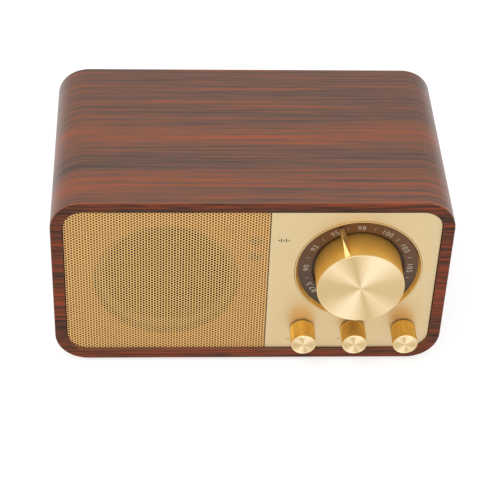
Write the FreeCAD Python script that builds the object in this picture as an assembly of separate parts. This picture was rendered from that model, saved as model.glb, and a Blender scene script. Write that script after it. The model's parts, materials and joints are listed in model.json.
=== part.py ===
import FreeCAD, Part
import math
import os
from FreeCAD import Vector

# A small tabletop radio: a wood-wrapped tube of a cabinet, closed in front by a moulded
# baffle that carries the grille, the control panel and the loudspeaker, and behind by a
# screwed rear panel. Everything below is laid out in the cabinet's own frame: X to the
# right from the middle, Y into the cabinet from the front rim, Z up from its underside.

# Driving dimensions, in millimetres.
CABINET_WIDTH = 152.0
CABINET_DEPTH = 85.4
CABINET_HEIGHT = 80.0
CABINET_CORNER_RADIUS = 12.7
CABINET_WALL = 4.5
RIM_EDGE_RADIUS = 0.6
FOOT_HEIGHT = 2.0
FOOT_RADIUS = 5.5
FOOT_INSET = 15.0

# Front: sheet-metal skins on a moulded baffle.
PANEL_RECESS = 1.0
PANEL_THICKNESS = 0.8
PANEL_GAP = 0.45
CONTROL_PANEL_WIDTH = 64.5
BAFFLE_THICKNESS = 2.6
BAFFLE_FIT = 0.15
CORNER_BLOCK_WIDTH = 12.0
CORNER_BLOCK_HEIGHT = 5.5
FRONT_BLOCK_LENGTH = 9.0
REAR_BLOCK_LENGTH = 12.0

# Tuning dial.
DIAL_FROM_SIDE_WALL = 30.5
DIAL_TO_KNOB_ROW_GAP = 1.2
DIAL_DEPTH = 1.5
DIAL_PLATE_THICKNESS = 0.8
DIAL_PLATE_BAND = 5.1
BEZEL_WIDTH = 1.4
BEZEL_LAND = 0.4
BEZEL_PROUD = 0.15
DIAL_FIT = 0.1
TUNING_KNOB_RADIUS = 16.7
TUNING_KNOB_REACH = 9.4
TUNING_KNOB_WALL = 1.2
TUNING_KNOB_FACE = 1.5
TUNING_KNOB_CHAMFER = 0.35
TUNING_SKIRT_DEPTH = 3.0
KNOB_TO_PLATE_GAP = 1.3
SKIRT_CLEARANCE = 0.6
WELL_FLOOR = 1.6
WELL_WALL = 2.25
POINTER_ANGLE = -21.0
POINTER_WIDTH = 1.8
POINTER_LENGTH = 5.7
POINTER_ROOT = 1.0
POINTER_CLEARANCE = 0.6
POINTER_TIP_RISE = 1.2
POINTER_TIP_SLOPE = 0.8
HUB_WEB = 2.0
HUB_CLEARANCE = 1.4
HUB_WALL = 2.5

# Small knobs and the controls behind the baffle.
KNOB_ROW_ABOVE_FLOOR = 10.8
KNOB_PITCH = 20.0
KNOB_RADIUS = 4.9
KNOB_REACH = 8.5
KNOB_CHAMFER = 0.3
KNOB_TO_PANEL_GAP = 0.5
KNOB_FACE = 1.5
SHAFT_RADIUS = 3.0
SHAFT_FLAT_DEPTH = 0.6
SHAFT_FIT = 0.05
SHAFT_CLEARANCE = 0.3
SHAFT_IN_CONTROL = 5.0
CONTROL_SIDE = 10.0
CONTROL_LENGTH = 7.0
TUNING_CONTROL_RADIUS = 8.0
BUSHING_WALL = 0.5
BUSHING_PROUD = 0.4
BUSHING_FIT = 0.1
NUT_WALL = 1.5
NUT_THICKNESS = 2.0

# Boards.
BOARD_THICKNESS = 1.6
CONTROL_BOARD_SPACING = 11.6
CONTROL_BOARD_MARGIN = 0.5
BOSS_RADIUS = 3.0
SCREW_RADIUS = 1.2
SCREW_HEAD_RADIUS = 2.3
SCREW_HEAD_HEIGHT = 1.4
SCREW_SKIN = 0.6
REAR_SCREW_LENGTH = 9.0
BOARD_SCREW_LENGTH = 8.0
MAIN_BOARD_WIDTH = 52.0
MAIN_BOARD_DEPTH = 30.0
MAIN_BOARD_OVER_BLOCK = 0.5
MAIN_BOARD_STANDOFF = 5.5
MAIN_BOARD_REAR_GAP = 1.4
CAPACITOR_RADIUS = 3.1
CAPACITOR_HEIGHT = 7.0
LED_ABOVE_SPEAKER = 19.9
MICROPHONE_ABOVE_SPEAKER = 12.3
INDICATOR_FROM_FLANGE = 0.7
LED_RADIUS = 1.5
MICROPHONE_RADIUS = 2.0
MICROPHONE_PORT_RADIUS = 0.8
INDICATOR_STANDOFF = 2.4
INDICATOR_POST_ABOVE_LED = 6.0
INDICATOR_MARGIN = 0.5
INDICATOR_BOARD_THICKNESS = 1.0
LED_BEHIND_GRILLE = 0.5

# Loudspeaker.
SPEAKER_OPENING_RADIUS = 28.0
SPEAKER_FLANGE = 5.0
SPEAKER_GASKET = 0.8
FLANGE_THICKNESS = 1.2
BASKET_DEPTH = 15.6
BASKET_WALL = 1.0
BASKET_BACK_RADIUS = 17.2
BASKET_WINDOW = 17.0
SURROUND_WIDTH = 4.0
CONE_PAPER = 0.5
COIL_INNER_RADIUS = 7.8
COIL_OUTER_RADIUS = 8.5
COIL_LENGTH = 11.6
COIL_BEFORE_BASKET_BACK = 7.6
DUST_CAP_HEIGHT = 2.6
SPIDER_BEHIND_COIL_FRONT = 4.0
SPIDER_THICKNESS = 0.5
SPIDER_FIT = 0.05
COIL_GAP_INSIDE = 0.4
COIL_GAP_OUTSIDE = 0.5
TOP_PLATE = 3.0
MAGNET_RADIUS = 16.0
MAGNET_HEIGHT = 8.0
YOKE_PLATE = 3.0

# Rear.
REAR_PANEL_THICKNESS = 2.5
REAR_PANEL_RECESS = 0.5
REAR_PANEL_FIT = 0.2
SOCKET_RECESS = 0.5
SOCKET_HOLE_GAP = 0.3
CHARGING_WIDTH = 9.0
CHARGING_HEIGHT = 3.2
CHARGING_LENGTH = 7.3
CHARGING_SHELL = 0.3
CHARGING_TONGUE = 0.7
CHARGING_FROM_EDGE = 12.0
JACK_BORE_RADIUS = 1.8
JACK_BORE_DEPTH = 11.0
JACK_NOSE_RADIUS = 2.6
JACK_WIDTH = 6.4
JACK_LENGTH = 12.0
JACK_FROM_EDGE = 32.0

# Battery.
CELL_RADIUS = 9.2
CELL_LENGTH = 65.0
CELL_FIT = 0.5
HOLDER_WALL = 1.5
HOLDER_HEIGHT = 13.0
HOLDER_FROM_BOARD = 1.2
HOLDER_BEFORE_BLOCKS = 3.0
LEAD_RADIUS = 0.6
CONNECTOR_HEIGHT = 3.0
RIBBON_WIDTH = 10.0
RIBBON_THICKNESS = 0.6


def inner_half_width():
    return CABINET_WIDTH / 2 - CABINET_WALL


def ceiling():
    return CABINET_HEIGHT - CABINET_WALL


# Places that several pieces share.
PANEL_FACE = PANEL_RECESS
BAFFLE_FACE = PANEL_FACE + PANEL_THICKNESS
BAFFLE_BACK = BAFFLE_FACE + BAFFLE_THICKNESS
PLATE_FACE = PANEL_FACE + DIAL_DEPTH
PLATE_BACK = PLATE_FACE + DIAL_PLATE_THICKNESS
SKIRT_BACK = PANEL_FACE + TUNING_SKIRT_DEPTH
WELL_FLOOR_FACE = SKIRT_BACK + SKIRT_CLEARANCE
WELL_FLOOR_BACK = WELL_FLOOR_FACE + WELL_FLOOR
BUSHING_RADIUS = SHAFT_RADIUS + BUSHING_WALL
WELL_RADIUS = TUNING_KNOB_RADIUS + KNOB_TO_PLATE_GAP - SHAFT_CLEARANCE
PLATE_INNER_RADIUS = TUNING_KNOB_RADIUS + KNOB_TO_PLATE_GAP
PLATE_VISIBLE_RADIUS = PLATE_INNER_RADIUS + DIAL_PLATE_BAND
BEZEL_RADIUS = PLATE_VISIBLE_RADIUS + BEZEL_WIDTH
DIAL_SEAT_RADIUS = BEZEL_RADIUS + DIAL_FIT
CONTROL_BOARD_FACE = BAFFLE_BACK + CONTROL_BOARD_SPACING
CONTROL_FACE = CONTROL_BOARD_FACE - CONTROL_LENGTH
REAR_PANEL_FACE = CABINET_DEPTH - REAR_PANEL_RECESS
REAR_PANEL_INSIDE = REAR_PANEL_FACE - REAR_PANEL_THICKNESS
PANEL_SPLIT = inner_half_width() - CONTROL_PANEL_WIDTH - PANEL_GAP
KNOB_ROW_HEIGHT = CABINET_WALL + KNOB_ROW_ABOVE_FLOOR
DIAL_CENTRE = (
    inner_half_width() - DIAL_FROM_SIDE_WALL,
    KNOB_ROW_HEIGHT + KNOB_RADIUS + DIAL_TO_KNOB_ROW_GAP + BEZEL_RADIUS,
)
KNOB_CENTRES = [(DIAL_CENTRE[0] + step * KNOB_PITCH, KNOB_ROW_HEIGHT) for step in (-1, 0, 1)]
SPEAKER_CENTRE = ((PANEL_SPLIT - inner_half_width()) / 2, CABINET_HEIGHT / 2)
SPEAKER_FACE = BAFFLE_BACK + SPEAKER_GASKET
FLANGE_RADIUS = SPEAKER_OPENING_RADIUS + SPEAKER_FLANGE
CONE_RADIUS = SPEAKER_OPENING_RADIUS - SURROUND_WIDTH
FLANGE_BACK = SPEAKER_FACE + FLANGE_THICKNESS
BASKET_BACK = FLANGE_BACK + BASKET_DEPTH
CONE_EDGE = FLANGE_BACK - CONE_PAPER
COIL_FRONT = BASKET_BACK - COIL_BEFORE_BASKET_BACK
MAIN_BOARD_TOP = CABINET_WALL + MAIN_BOARD_STANDOFF + BOARD_THICKNESS
MAIN_BOARD_REAR = REAR_PANEL_INSIDE - MAIN_BOARD_REAR_GAP
MAIN_BOARD_RIGHT = inner_half_width() - CORNER_BLOCK_WIDTH + MAIN_BOARD_OVER_BLOCK
MAIN_BOARD_LEFT = MAIN_BOARD_RIGHT - MAIN_BOARD_WIDTH
MAIN_BOARD_FRONT = MAIN_BOARD_REAR - MAIN_BOARD_DEPTH
SOCKET_MOUTH = REAR_PANEL_FACE - SOCKET_RECESS
CHARGING_X = MAIN_BOARD_LEFT + CHARGING_FROM_EDGE
JACK_X = MAIN_BOARD_LEFT + JACK_FROM_EDGE
JACK_Z = MAIN_BOARD_TOP + JACK_NOSE_RADIUS


# Basic solids. Every span is a (low, high) pair.
def block(x, y, z):
    return Part.makeBox(x[1] - x[0], y[1] - y[0], z[1] - z[0], Vector(x[0], y[0], z[0]))


def rod(centre, radius, y):
    return Part.makeCylinder(radius, y[1] - y[0], Vector(centre[0], y[0], centre[1]), Vector(0, 1, 0))


def ring(centre, outer, inner, y):
    return rod(centre, outer, y).cut(rod(centre, inner, y))


def post(place, radius, z):
    return Part.makeCylinder(radius, z[1] - z[0], Vector(place[0], place[1], z[0]))


def turned(centre, outline):
    """A solid turned about a Y axis from an outline of (radius, y) points."""
    points = [Vector(centre[0] + r, y, centre[1]) for r, y in outline]
    face = Part.Face(Part.makePolygon(points + points[:1]))
    return face.revolve(Vector(centre[0], 0, centre[1]), Vector(0, 1, 0), 360)


def rounded_prism(x, y, z, radius):
    solid = block(x, y, z)
    upright = [e for e in solid.Edges if abs(e.Vertexes[0].Y - e.Vertexes[1].Y) > 0.5 * (y[1] - y[0])]
    return solid.makeFillet(radius, upright)


def cabinet_room(inset, y):
    """The cabinet's inside section, drawn in by inset, over a span of depth."""
    half = inner_half_width() - inset
    radius = CABINET_CORNER_RADIUS - CABINET_WALL - inset
    return rounded_prism((-half, half), y, (CABINET_WALL + inset, ceiling() - inset), radius)


def tray_screw(centre, head_y, tip_y):
    """A pan-head screw along Y, its head behind head_y and its tip in front at tip_y."""
    shank = rod(centre, SCREW_RADIUS, (tip_y, head_y))
    return shank.fuse(rod(centre, SCREW_HEAD_RADIUS, (head_y, head_y + SCREW_HEAD_HEIGHT)))


def shaft(centre, y):
    """A D-section spindle: full round behind the baffle, with a flat inside the knob."""
    solid = rod(centre, SHAFT_RADIUS, y)
    flat = block(
        (centre[0] - SHAFT_RADIUS, centre[0] + SHAFT_RADIUS),
        (y[0], KNOB_TO_PANEL_GAP - SHAFT_CLEARANCE),
        (centre[1] + SHAFT_RADIUS - SHAFT_FLAT_DEPTH, centre[1] + SHAFT_RADIUS),
    )
    return solid.cut(flat)


def all_of(solids):
    return Part.makeCompound(solids)


# Cabinet and its glued blocks.
def cabinet():
    half = CABINET_WIDTH / 2
    outside = rounded_prism((-half, half), (0, CABINET_DEPTH), (0, CABINET_HEIGHT), CABINET_CORNER_RADIUS)
    rim = [e for e in outside.Edges if e.BoundBox.YMax < 0.001]
    back = [e for e in outside.Edges if e.BoundBox.YMin > CABINET_DEPTH - 0.001]
    outside = outside.makeFillet(RIM_EDGE_RADIUS, rim + back)
    return outside.cut(cabinet_room(0, (-1, CABINET_DEPTH + 1)))


def block_corners():
    half = inner_half_width()
    spans_x = [(-half, CORNER_BLOCK_WIDTH - half), (half - CORNER_BLOCK_WIDTH, half)]
    floor = CABINET_WALL
    spans_z = [(floor, floor + CORNER_BLOCK_HEIGHT), (ceiling() - CORNER_BLOCK_HEIGHT, ceiling())]
    return [(x, z) for x in spans_x for z in spans_z]


def block_centres():
    return [(sum(x) / 2, sum(z) / 2) for x, z in block_corners()]


def corner_blocks(y, screws):
    room = cabinet_room(0, y)
    blocks = [block(x, y, z).common(room) for x, z in block_corners()]
    return all_of([b.cut(s) for b, s in zip(blocks, screws)])


def baffle_screws():
    head = BAFFLE_BACK + FRONT_BLOCK_LENGTH
    return [tray_screw(c, head, BAFFLE_FACE + SCREW_SKIN) for c in block_centres()]


def rear_screws():
    """Countersunk screws, flush with the rear panel, that bite into the rear blocks."""
    screws = []
    for centre in block_centres():
        neck = REAR_PANEL_FACE - SCREW_HEAD_HEIGHT
        outline = [
            (0, neck - REAR_SCREW_LENGTH),
            (SCREW_RADIUS, neck - REAR_SCREW_LENGTH),
            (SCREW_RADIUS, neck),
            (SCREW_HEAD_RADIUS, REAR_PANEL_FACE),
            (0, REAR_PANEL_FACE),
        ]
        screws.append(turned(centre, outline))
    return screws


def front_corner_blocks():
    return corner_blocks((BAFFLE_BACK, BAFFLE_BACK + FRONT_BLOCK_LENGTH), baffle_screws())


def rear_corner_blocks():
    return corner_blocks((REAR_PANEL_INSIDE - REAR_BLOCK_LENGTH, REAR_PANEL_INSIDE), rear_screws())


def feet():
    x = CABINET_WIDTH / 2 - FOOT_INSET
    rows = (FOOT_INSET, CABINET_DEPTH - FOOT_INSET)
    pads = [post((side * x, y), FOOT_RADIUS, (-FOOT_HEIGHT, 0)) for side in (-1, 1) for y in rows]
    rounded = []
    for pad in pads:
        bottom = [e for e in pad.Edges if e.BoundBox.ZMax < 0.001 - FOOT_HEIGHT]
        rounded.append(pad.makeFillet(FOOT_HEIGHT * 0.25, bottom))
    return all_of(rounded)


# Front skins and the baffle behind them.
def grille():
    sheet = cabinet_room(PANEL_GAP, (PANEL_FACE, BAFFLE_FACE))
    half = inner_half_width()
    left_side = block((-half, PANEL_SPLIT - PANEL_GAP / 2), (PANEL_FACE, BAFFLE_FACE), (0, CABINET_HEIGHT))
    return sheet.common(left_side)


def control_panel():
    sheet = cabinet_room(PANEL_GAP, (PANEL_FACE, BAFFLE_FACE))
    span = (PANEL_SPLIT + PANEL_GAP / 2, inner_half_width())
    sheet = sheet.common(block(span, (PANEL_FACE, BAFFLE_FACE), (0, CABINET_HEIGHT)))
    sheet = sheet.cut(rod(DIAL_CENTRE, DIAL_SEAT_RADIUS, (PANEL_FACE, BAFFLE_FACE)))
    for centre in KNOB_CENTRES:
        sheet = sheet.cut(rod(centre, SHAFT_RADIUS + SHAFT_CLEARANCE, (PANEL_FACE, BAFFLE_FACE)))
    return sheet


def dial_bezel():
    top = PANEL_FACE - BEZEL_PROUD
    outline = [
        (BEZEL_RADIUS, top),
        (BEZEL_RADIUS - BEZEL_LAND, top),
        (PLATE_VISIBLE_RADIUS, PLATE_FACE),
        (BEZEL_RADIUS, PLATE_FACE),
    ]
    return turned(DIAL_CENTRE, outline)


def dial_plate():
    return ring(DIAL_CENTRE, BEZEL_RADIUS, PLATE_INNER_RADIUS, (PLATE_FACE, PLATE_BACK))


def control_boss_places():
    """Two bosses above the dial and two between the small controls."""
    (left, right), (low, high) = control_board_span()
    inset = BOSS_RADIUS + 1
    upper = [(x, high - inset) for x in (left + inset, right - inset)]
    lower = [(DIAL_CENTRE[0] + side * KNOB_PITCH / 2, low + BOSS_RADIUS) for side in (-1, 1)]
    return upper + lower


def control_board_span():
    outer = KNOB_PITCH + CONTROL_SIDE / 2 + CONTROL_BOARD_MARGIN
    x = (DIAL_CENTRE[0] - outer, DIAL_CENTRE[0] + outer)
    low = KNOB_ROW_HEIGHT - CONTROL_SIDE / 2 - CONTROL_BOARD_MARGIN
    high = DIAL_CENTRE[1] + WELL_RADIUS + BOSS_RADIUS
    return x, (low, high)


def indicator_places():
    x = SPEAKER_CENTRE[0] + FLANGE_RADIUS + INDICATOR_FROM_FLANGE
    return [(x, SPEAKER_CENTRE[1] + rise) for rise in (LED_ABOVE_SPEAKER, MICROPHONE_ABOVE_SPEAKER)]


def indicator_posts():
    led, capsule = indicator_places()
    return [(led[0], led[1] + INDICATOR_POST_ABOVE_LED), (led[0], (led[1] + capsule[1]) / 2)]


def front_baffle():
    plate = cabinet_room(BAFFLE_FIT, (BAFFLE_FACE, BAFFLE_BACK))
    plate = plate.fuse(rod(DIAL_CENTRE, WELL_RADIUS + WELL_WALL, (BAFFLE_BACK, WELL_FLOOR_BACK)))
    for place in control_boss_places():
        plate = plate.fuse(rod(place, BOSS_RADIUS, (BAFFLE_BACK, CONTROL_BOARD_FACE)))
    for place in indicator_posts():
        plate = plate.fuse(rod(place, LED_RADIUS, (BAFFLE_BACK, BAFFLE_BACK + INDICATOR_STANDOFF)))
    plate = plate.cut(rod(SPEAKER_CENTRE, SPEAKER_OPENING_RADIUS, (BAFFLE_FACE, BAFFLE_BACK)))
    plate = plate.cut(rod(DIAL_CENTRE, DIAL_SEAT_RADIUS, (BAFFLE_FACE, PLATE_BACK)))
    plate = plate.cut(rod(DIAL_CENTRE, WELL_RADIUS, (PLATE_BACK, WELL_FLOOR_FACE)))
    plate = plate.cut(rod(DIAL_CENTRE, BUSHING_RADIUS + BUSHING_FIT, (WELL_FLOOR_FACE, WELL_FLOOR_BACK)))
    for centre in KNOB_CENTRES:
        plate = plate.cut(rod(centre, BUSHING_RADIUS + BUSHING_FIT, (BAFFLE_FACE, BAFFLE_BACK)))
    led, microphone = indicator_places()
    plate = plate.cut(rod(led, LED_RADIUS + DIAL_FIT, (BAFFLE_FACE, BAFFLE_BACK)))
    plate = plate.cut(rod(microphone, MICROPHONE_PORT_RADIUS, (BAFFLE_FACE, BAFFLE_BACK)))
    for screw in baffle_screws() + speaker_screws() + control_board_screws():
        plate = plate.cut(screw)
    return plate


# Controls. Each has a fixed body on the control board and a spindle that turns in it.
def rotary_control(centre):
    """A square can with a bushing through the baffle, bored blind for its spindle."""
    solid = block(
        (centre[0] - CONTROL_SIDE / 2, centre[0] + CONTROL_SIDE / 2),
        (CONTROL_FACE, CONTROL_BOARD_FACE),
        (centre[1] - CONTROL_SIDE / 2, centre[1] + CONTROL_SIDE / 2),
    )
    solid = solid.fuse(rod(centre, BUSHING_RADIUS, (BAFFLE_FACE, CONTROL_FACE)))
    bore = (BAFFLE_FACE, CONTROL_FACE + SHAFT_IN_CONTROL + SHAFT_CLEARANCE)
    return solid.cut(rod(centre, SHAFT_RADIUS + SHAFT_FIT, bore))


def rotary_shaft(centre):
    return shaft(centre, (KNOB_FACE - KNOB_REACH, CONTROL_FACE + SHAFT_IN_CONTROL))


def small_knob(centre):
    outline = [
        (0, -KNOB_REACH),
        (KNOB_RADIUS - KNOB_CHAMFER, -KNOB_REACH),
        (KNOB_RADIUS, KNOB_CHAMFER - KNOB_REACH),
        (KNOB_RADIUS, PANEL_FACE - KNOB_TO_PANEL_GAP),
        (0, PANEL_FACE - KNOB_TO_PANEL_GAP),
    ]
    return turned(centre, outline).cut(rotary_shaft(centre))


def tuning_control():
    """A round can behind the well, with a threaded bushing through the well's floor."""
    front = WELL_FLOOR_FACE - NUT_THICKNESS - BUSHING_PROUD
    solid = rod(DIAL_CENTRE, TUNING_CONTROL_RADIUS, (WELL_FLOOR_BACK, CONTROL_BOARD_FACE))
    solid = solid.fuse(rod(DIAL_CENTRE, BUSHING_RADIUS, (front, WELL_FLOOR_BACK)))
    depth = WELL_FLOOR_BACK + SHAFT_IN_CONTROL + SHAFT_CLEARANCE
    return solid.cut(rod(DIAL_CENTRE, SHAFT_RADIUS + SHAFT_FIT, (front, depth)))


def tuning_nut():
    circle = (BUSHING_RADIUS + NUT_WALL) / math.cos(math.pi / 6)
    y = WELL_FLOOR_FACE - NUT_THICKNESS
    corners = []
    for turn in range(6):
        angle = math.radians(60 * turn)
        corners.append(
            Vector(DIAL_CENTRE[0] + circle * math.cos(angle), y, DIAL_CENTRE[1] + circle * math.sin(angle))
        )
    hexagon = Part.Face(Part.makePolygon(corners + corners[:1]))
    nut = hexagon.extrude(Vector(0, NUT_THICKNESS, 0))
    return nut.cut(rod(DIAL_CENTRE, BUSHING_RADIUS, (y, y + NUT_THICKNESS)))


def tuning_shaft():
    front = TUNING_KNOB_FACE + HUB_WEB / 2 - TUNING_KNOB_REACH
    return shaft(DIAL_CENTRE, (front, WELL_FLOOR_BACK + SHAFT_IN_CONTROL))


def tuning_knob():
    inside = TUNING_KNOB_FACE - TUNING_KNOB_REACH
    outline = [
        (0, -TUNING_KNOB_REACH),
        (TUNING_KNOB_RADIUS - TUNING_KNOB_CHAMFER, -TUNING_KNOB_REACH),
        (TUNING_KNOB_RADIUS, TUNING_KNOB_CHAMFER - TUNING_KNOB_REACH),
        (TUNING_KNOB_RADIUS, SKIRT_BACK),
        (TUNING_KNOB_RADIUS - TUNING_KNOB_WALL, SKIRT_BACK),
        (TUNING_KNOB_RADIUS - TUNING_KNOB_WALL, inside),
        (0, inside),
    ]
    return turned(DIAL_CENTRE, outline)


def tuning_hub():
    """The moulded core that is pressed into the metal knob and grips the spindle."""
    front = TUNING_KNOB_FACE - TUNING_KNOB_REACH
    nut_front = WELL_FLOOR_FACE - NUT_THICKNESS
    outline = [
        (0, front),
        (TUNING_KNOB_RADIUS - TUNING_KNOB_WALL, front),
        (TUNING_KNOB_RADIUS - TUNING_KNOB_WALL, front + HUB_WEB),
        (SHAFT_RADIUS + HUB_WALL, front + HUB_WEB),
        (SHAFT_RADIUS + HUB_WALL, nut_front - HUB_CLEARANCE),
        (0, nut_front - HUB_CLEARANCE),
    ]
    return turned(DIAL_CENTRE, outline).cut(tuning_shaft())


def tuning_pointer():
    """A fin on the knob's side that widens out over the dial plate."""
    x, z = DIAL_CENTRE
    r = TUNING_KNOB_RADIUS
    front = TUNING_KNOB_CHAMFER - TUNING_KNOB_REACH
    back = PLATE_FACE - POINTER_CLEARANCE
    outline = [
        (r - 1, front),
        (r + POINTER_ROOT, front),
        (r + POINTER_LENGTH, back - POINTER_TIP_RISE),
        (r + POINTER_LENGTH - POINTER_TIP_SLOPE, back),
        (r - 1, back),
    ]
    points = [Vector(x - POINTER_WIDTH / 2, y, z + radial) for radial, y in outline]
    fin = Part.Face(Part.makePolygon(points + points[:1])).extrude(Vector(POINTER_WIDTH, 0, 0))
    fin = fin.cut(rod(DIAL_CENTRE, TUNING_KNOB_RADIUS, (front - 1, back + 1)))
    fin.rotate(Vector(x, 0, z), Vector(0, 1, 0), POINTER_ANGLE)
    return fin


# Boards and what they carry.
def control_board():
    x, z = control_board_span()
    board = block(x, (CONTROL_BOARD_FACE, CONTROL_BOARD_FACE + BOARD_THICKNESS), z)
    for screw in control_board_screws():
        board = board.cut(screw)
    return board


def control_board_screws():
    head = CONTROL_BOARD_FACE + BOARD_THICKNESS
    return [tray_screw(place, head, head - BOARD_SCREW_LENGTH) for place in control_boss_places()]


def indicator_board():
    x, top = indicator_posts()[0]
    low = indicator_places()[1][1]
    y = BAFFLE_BACK + INDICATOR_STANDOFF
    margin = MICROPHONE_RADIUS + INDICATOR_MARGIN
    thickness = INDICATOR_BOARD_THICKNESS
    return block((x - margin, x + margin), (y, y + thickness), (low - margin, top + margin))


def indicator_led():
    led = indicator_places()[0]
    return rod(led, LED_RADIUS, (BAFFLE_FACE + LED_BEHIND_GRILLE, BAFFLE_BACK + INDICATOR_STANDOFF))


def microphone():
    capsule = indicator_places()[1]
    return rod(capsule, MICROPHONE_RADIUS, (BAFFLE_BACK, BAFFLE_BACK + INDICATOR_STANDOFF))


def main_board_span():
    return (MAIN_BOARD_LEFT, MAIN_BOARD_RIGHT), (MAIN_BOARD_FRONT, MAIN_BOARD_REAR)


def main_board_corners():
    x, y = main_board_span()
    inset = BOSS_RADIUS + 1
    return [(px, py) for px in (x[0] + inset, x[1] - inset) for py in (y[0] + inset, y[1] - inset)]


def main_board_screws():
    screws = []
    for place in main_board_corners():
        shank = post(place, SCREW_RADIUS, (CABINET_WALL + 1, MAIN_BOARD_TOP))
        head = post(place, SCREW_HEAD_RADIUS, (MAIN_BOARD_TOP, MAIN_BOARD_TOP + SCREW_HEAD_HEIGHT))
        screws.append(shank.fuse(head))
    return screws


def main_board():
    x, y = main_board_span()
    board = block(x, y, (MAIN_BOARD_TOP - BOARD_THICKNESS, MAIN_BOARD_TOP))
    for screw in main_board_screws():
        board = board.cut(screw)
    return board


def board_standoffs():
    span = (CABINET_WALL, MAIN_BOARD_TOP - BOARD_THICKNESS)
    pillars = [post(place, BOSS_RADIUS, span) for place in main_board_corners()]
    return all_of([p.cut(s) for p, s in zip(pillars, main_board_screws())])


def on_main_board(from_left, from_front, width, depth, height):
    x = MAIN_BOARD_LEFT + from_left
    y = MAIN_BOARD_FRONT + from_front
    return block((x, x + width), (y, y + depth), (MAIN_BOARD_TOP, MAIN_BOARD_TOP + height))


def receiver_chip():
    return on_main_board(12, 13, 7, 7, 1.0)


def amplifier_chip():
    return on_main_board(43, 12, 5, 6, 1.4)


def capacitors():
    row = [(MAIN_BOARD_LEFT + from_left, MAIN_BOARD_FRONT + 5) for from_left in (30, 38)]
    can = (MAIN_BOARD_TOP, MAIN_BOARD_TOP + CAPACITOR_HEIGHT)
    return all_of([post(place, CAPACITOR_RADIUS, can) for place in row])


def charging_socket():
    x = (CHARGING_X - CHARGING_WIDTH / 2, CHARGING_X + CHARGING_WIDTH / 2)
    y = (SOCKET_MOUTH - CHARGING_LENGTH, SOCKET_MOUTH)
    z = (MAIN_BOARD_TOP, MAIN_BOARD_TOP + CHARGING_HEIGHT)
    shell = rounded_prism(x, y, z, CHARGING_HEIGHT * 0.45)
    wall = CHARGING_SHELL
    mouth_z = (z[0] + wall, z[1] - wall)
    mouth = rounded_prism((x[0] + wall, x[1] - wall), (y[0] + 1, y[1]), mouth_z, CHARGING_HEIGHT * 0.36)
    middle = (z[0] + z[1]) / 2
    tongue_x = (x[0] + wall * 4, x[1] - wall * 4)
    tongue_z = (middle - CHARGING_TONGUE / 2, middle + CHARGING_TONGUE / 2)
    return shell.cut(mouth).fuse(block(tongue_x, (y[0] + 1, y[1] - 1), tongue_z))


def aux_jack():
    half = JACK_WIDTH / 2
    mouth = (REAR_PANEL_INSIDE - SOCKET_HOLE_GAP, SOCKET_MOUTH)
    body_z = (MAIN_BOARD_TOP, MAIN_BOARD_TOP + 2 * JACK_NOSE_RADIUS)
    body = block((JACK_X - half, JACK_X + half), (SOCKET_MOUTH - JACK_LENGTH, mouth[0]), body_z)
    centre = (JACK_X, JACK_Z)
    body = body.fuse(rod(centre, JACK_NOSE_RADIUS, mouth))
    return body.cut(rod(centre, JACK_BORE_RADIUS, (SOCKET_MOUTH - JACK_BORE_DEPTH, SOCKET_MOUTH)))


def rear_panel():
    span = (REAR_PANEL_INSIDE, REAR_PANEL_FACE)
    panel = cabinet_room(REAR_PANEL_FIT, span)
    gap = SOCKET_HOLE_GAP
    half = CHARGING_WIDTH / 2 + gap
    slot_z = (MAIN_BOARD_TOP - gap, MAIN_BOARD_TOP + CHARGING_HEIGHT + gap)
    slot = rounded_prism((CHARGING_X - half, CHARGING_X + half), span, slot_z, CHARGING_HEIGHT * 0.5)
    panel = panel.cut(slot)
    panel = panel.cut(rod((JACK_X, JACK_Z), JACK_NOSE_RADIUS + gap, span))
    for screw in rear_screws():
        panel = panel.cut(screw)
    return panel


# Loudspeaker, from its gasket to its yoke.
def basket_inner_radius(y):
    """Radius of the basket's inside wall at a depth, along its straight taper."""
    front_r = SPEAKER_OPENING_RADIUS
    back_r = BASKET_BACK_RADIUS - BASKET_WALL * 1.2
    share = (y - FLANGE_BACK) / (BASKET_DEPTH - BASKET_WALL)
    return front_r + (back_r - front_r) * share


def speaker_gasket():
    gasket = ring(SPEAKER_CENTRE, FLANGE_RADIUS, SPEAKER_OPENING_RADIUS, (BAFFLE_BACK, SPEAKER_FACE))
    for screw in speaker_screws():
        gasket = gasket.cut(screw)
    return gasket


def speaker_screws():
    wall = SPEAKER_OPENING_RADIUS + BASKET_WALL * 1.2
    circle = (wall + FLANGE_RADIUS) / 2
    head = (FLANGE_RADIUS - wall) / 2 - 0.1
    screws = []
    for turn in range(4):
        angle = math.radians(45 + 90 * turn)
        x = SPEAKER_CENTRE[0] + circle * math.cos(angle)
        z = SPEAKER_CENTRE[1] + circle * math.sin(angle)
        shank = rod((x, z), 1.0, (BAFFLE_FACE + SCREW_SKIN, FLANGE_BACK))
        screws.append(shank.fuse(rod((x, z), head, (FLANGE_BACK, FLANGE_BACK + SCREW_HEAD_HEIGHT))))
    return screws


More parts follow.
